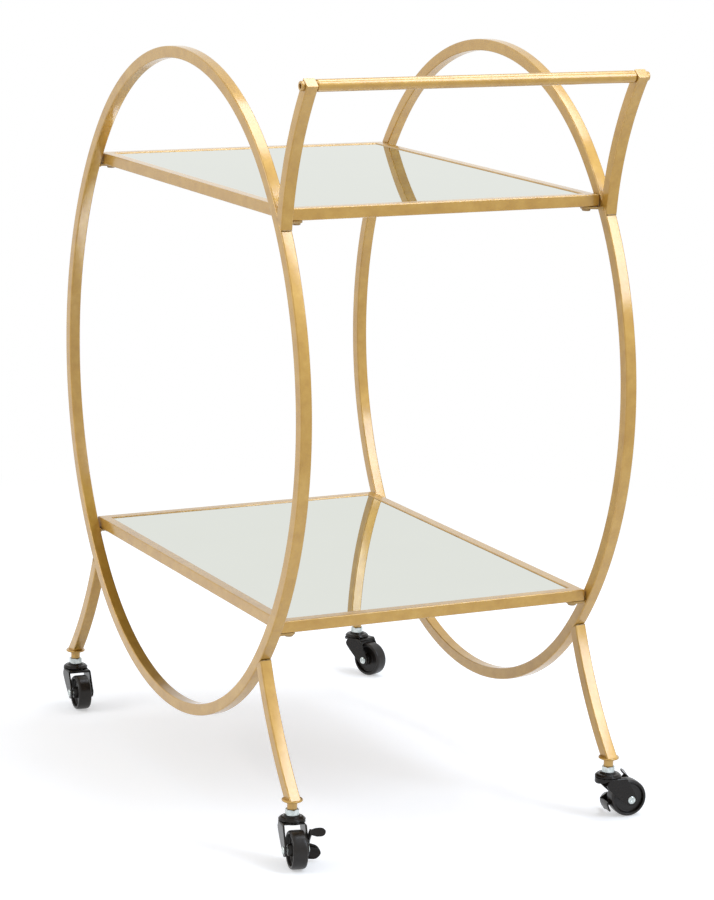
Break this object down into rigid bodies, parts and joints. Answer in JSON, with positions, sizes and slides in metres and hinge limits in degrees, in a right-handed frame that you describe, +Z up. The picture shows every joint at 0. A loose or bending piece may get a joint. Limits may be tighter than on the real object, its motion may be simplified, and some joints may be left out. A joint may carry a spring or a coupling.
{
  "type": "bar cart",
  "caption": "Bar cart on swivel casters: oval side hoops of square tube carry mirror-topped shelves, with a raised push bar on swept arms at one end.",
  "frame": {"origin": "on the floor under the middle of the whole cart, with its casters standing as modelled", "axes": "+Z up; +X towards the push bar end; the hoops lie in planes along X and Z; left is -Y"},
  "size_m": [0.6611, 0.4347, 0.8033],
  "materials": {
    "gold": "satin gold paint on welded steel tube",
    "mirror": "clear silvered mirror glass",
    "board": "plain fibreboard backing",
    "zinc": "bright zinc plate",
    "caster_black": "satin black coat on pressed steel",
    "wheel_black": "moulded black, low sheen"
  },
  "bodies": {
    "frame": {"left_hoop": "gold", "right_hoop": "gold", "left_arm": "gold", "right_arm": "gold", "left_arm_block": "gold", "right_arm_block": "gold", "push_bar": "gold", "push_bar_screws": "gold", "bar_left_leg": "gold", "bar_right_leg": "gold", "far_left_leg": "gold", "far_right_leg": "gold", "bar_left_foot": "gold", "bar_right_foot": "gold", "far_left_foot": "gold", "far_right_foot": "gold", "upper_front_rail": "gold", "upper_back_rail": "gold", "upper_left_rail": "gold", "upper_right_rail": "gold", "lower_front_rail": "gold", "lower_back_rail": "gold", "lower_left_rail": "gold", "lower_right_rail": "gold", "upper_backing": "board", "lower_backing": "board", "upper_mirror": "mirror", "lower_mirror": "mirror", "left_tabs": "gold", "right_tabs": "gold", "tab_screws": "gold", "bar_left_stem": "zinc", "bar_right_stem": "zinc", "far_left_stem": "zinc", "far_right_stem": "zinc", "bar_left_race_cap": "caster_black", "bar_right_race_cap": "caster_black", "far_left_race_cap": "caster_black", "far_right_race_cap": "caster_black", "bar_left_balls": "zinc", "bar_right_balls": "zinc", "far_left_balls": "zinc", "far_right_balls": "zinc"},
    "bar_left_caster": {"bar_left_fork": "caster_black", "bar_left_axle": "zinc", "bar_left_brake_pin": "zinc"},
    "bar_left_wheel_body": {"bar_left_wheel": "wheel_black"},
    "bar_left_brake_lever": {"bar_left_brake": "caster_black"},
    "bar_right_caster": {"bar_right_fork": "caster_black", "bar_right_axle": "zinc", "bar_right_brake_pin": "zinc"},
    "bar_right_wheel_body": {"bar_right_wheel": "wheel_black"},
    "bar_right_brake_lever": {"bar_right_brake": "caster_black"},
    "far_left_caster": {"far_left_fork": "caster_black", "far_left_axle": "zinc"},
    "far_left_wheel_body": {"far_left_wheel": "wheel_black"},
    "far_right_caster": {"far_right_fork": "caster_black", "far_right_axle": "zinc"},
    "far_right_wheel_body": {"far_right_wheel": "wheel_black"}
  },
  "joints": [
    {"name": "bar_left_swivel", "type": "hinge", "parent": "frame", "child": "bar_left_caster", "pos_m": [0.28785, -0.19883, 0.0446], "axis": [0, 0, 1], "continuous": true},
    {"name": "bar_left_wheel_spin", "type": "hinge", "parent": "bar_left_caster", "child": "bar_left_wheel_body", "pos_m": [0.30986, -0.2035, 0.02], "axis": [0.2079, 0.9781, 0], "continuous": true},
    {"name": "bar_left_brake_turn", "type": "hinge", "parent": "bar_left_caster", "child": "bar_left_brake_lever", "pos_m": [0.30399, -0.20226, 0.027], "axis": [-0.2079, -0.9781, 0], "range_deg": [0, 22]},
    {"name": "bar_right_swivel", "type": "hinge", "parent": "frame", "child": "bar_right_caster", "pos_m": [0.28785, 0.17447, 0.0446], "axis": [0, 0, 1], "continuous": true},
    {"name": "bar_right_wheel_spin", "type": "hinge", "parent": "bar_right_caster", "child": "bar_right_wheel_body", "pos_m": [0.29059, 0.19681, 0.02], "axis": [-0.9925, 0.1219, 0], "continuous": true},
    {"name": "bar_right_brake_turn", "type": "hinge", "parent": "bar_right_caster", "child": "bar_right_brake_lever", "pos_m": [0.28986, 0.19085, 0.027], "axis": [0.9925, -0.1219, 0], "range_deg": [0, 22]},
    {"name": "far_left_swivel", "type": "hinge", "parent": "frame", "child": "far_left_caster", "pos_m": [-0.31255, -0.19883, 0.0446], "axis": [0, 0, 1], "continuous": true},
    {"name": "far_left_wheel_spin", "type": "hinge", "parent": "far_left_caster", "child": "far_left_wheel_body", "pos_m": [-0.29014, -0.20079, 0.02], "axis": [0.0872, 0.9962, 0], "continuous": true},
    {"name": "far_right_swivel", "type": "hinge", "parent": "frame", "child": "far_right_caster", "pos_m": [-0.31255, 0.17447, 0.0446], "axis": [0, 0, 1], "continuous": true},
    {"name": "far_right_wheel_spin", "type": "hinge", "parent": "far_right_caster", "child": "far_right_wheel_body", "pos_m": [-0.29169, 0.1829, 0.02], "axis": [-0.3746, 0.9272, 0], "continuous": true}
  ]
}
